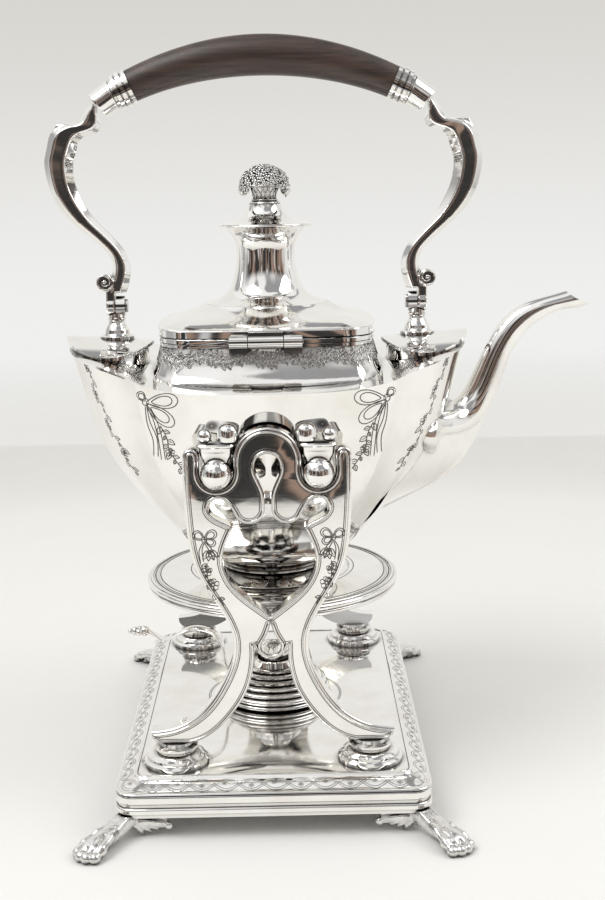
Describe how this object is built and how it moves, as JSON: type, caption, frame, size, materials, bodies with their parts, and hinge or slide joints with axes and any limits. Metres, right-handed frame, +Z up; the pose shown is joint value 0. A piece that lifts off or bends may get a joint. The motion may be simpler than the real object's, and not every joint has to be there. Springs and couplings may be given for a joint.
{
  "type": "spirit kettle on stand",
  "caption": "Silver spirit kettle with hinged lid and wood-gripped bail handle, tipping on pins between pierced frames over a burner on a footed base.",
  "frame": {"origin": "centre of the whole object's box at floor level, under the kettle and a little towards its spout", "axes": "+X towards the spout, +Y towards the rear frame, away from the lid hinge, +Z up"},
  "size_m": [0.2616, 0.257, 0.3531],
  "materials": {
    "silver": "polished silver",
    "chased_silver": "cast and chased silver, darker in its hollows",
    "pin_metal": "plain drawn metal",
    "dark_wood": "oiled dark hardwood",
    "cotton": "woven cotton wick"
  },
  "bodies": {
    "stand": {"base_plate": "silver", "foot_front_left": "chased_silver", "foot_front_right": "chased_silver", "foot_rear_left": "chased_silver", "foot_rear_right": "chased_silver", "pad_front_left": "silver", "pad_front_right": "silver", "pad_rear_left": "silver", "pad_rear_right": "silver", "front_frame": "silver", "rear_frame": "silver", "pad_studs": "pin_metal", "pad_nuts": "pin_metal"},
    "pivot_pins": {"pivot_pin_front": "silver", "pivot_pin_rear": "silver", "pivot_knobs": "silver"},
    "kettle": {"kettle_body": "silver", "kettle_neck": "silver", "spout": "silver", "foot_collar": "silver", "kettle_foot": "silver", "ear_left": "silver", "ear_right": "silver", "post_left": "silver", "post_right": "silver", "handle_pin_left": "pin_metal", "handle_pin_right": "pin_metal", "lock_lugs": "silver", "pivot_lugs": "silver", "hinge_leaf": "silver", "hinge_pin": "pin_metal"},
    "lid": {"lid_knuckle": "silver", "lid_shell": "silver", "lid_spool": "silver", "lid_cap": "silver", "finial": "chased_silver", "finial_nut": "pin_metal"},
    "handle": {"arm_left": "silver", "arm_right": "silver", "ferrule_left": "silver", "ferrule_right": "silver", "grip": "dark_wood", "grip_pins": "pin_metal"},
    "lock_front": {"lock_pin_front": "silver", "lock_knobs_front": "silver"},
    "lock_rear": {"lock_pin_rear": "silver", "lock_knobs_rear": "silver"},
    "burner": {"burner_body": "silver", "wick_tube": "silver", "wick": "cotton", "burner_handle": "silver"},
    "snuffer": {"snuffer_cap": "silver"}
  },
  "joints": [
    {"name": "kettle_lift", "type": "slide", "parent": "stand", "child": "pivot_pins", "axis": [0, 0, 1], "range_m": [0, 0.1]},
    {"name": "kettle_tip", "type": "hinge", "parent": "pivot_pins", "child": "kettle", "pos_m": [-0.0018, 0, 0.1608], "axis": [0, 1, 0], "range_deg": [0, 35]},
    {"name": "lid_hinge", "type": "hinge", "parent": "kettle", "child": "lid", "pos_m": [-0.0242, -0.0536, 0.2146], "axis": [1, 0, 0], "range_deg": [0, 85]},
    {"name": "handle_hinge", "type": "hinge", "parent": "kettle", "child": "handle", "pos_m": [-0.0242, 0, 0.227], "axis": [1, 0, 0], "range_deg": [-45, 45]},
    {"name": "lock_front_pull", "type": "slide", "parent": "kettle", "child": "lock_front", "axis": [0, -1, 0], "range_m": [0, 0.012]},
    {"name": "lock_rear_pull", "type": "slide", "parent": "kettle", "child": "lock_rear", "axis": [0, 1, 0], "range_m": [0, 0.012]},
    {"name": "burner_draw", "type": "slide", "parent": "stand", "child": "burner", "axis": [-1, 0, 0], "range_m": [0, 0.11]},
    {"name": "snuffer_lift", "type": "slide", "parent": "burner", "child": "snuffer", "axis": [0, 0, 1], "range_m": [0, 0.015]}
  ]
}
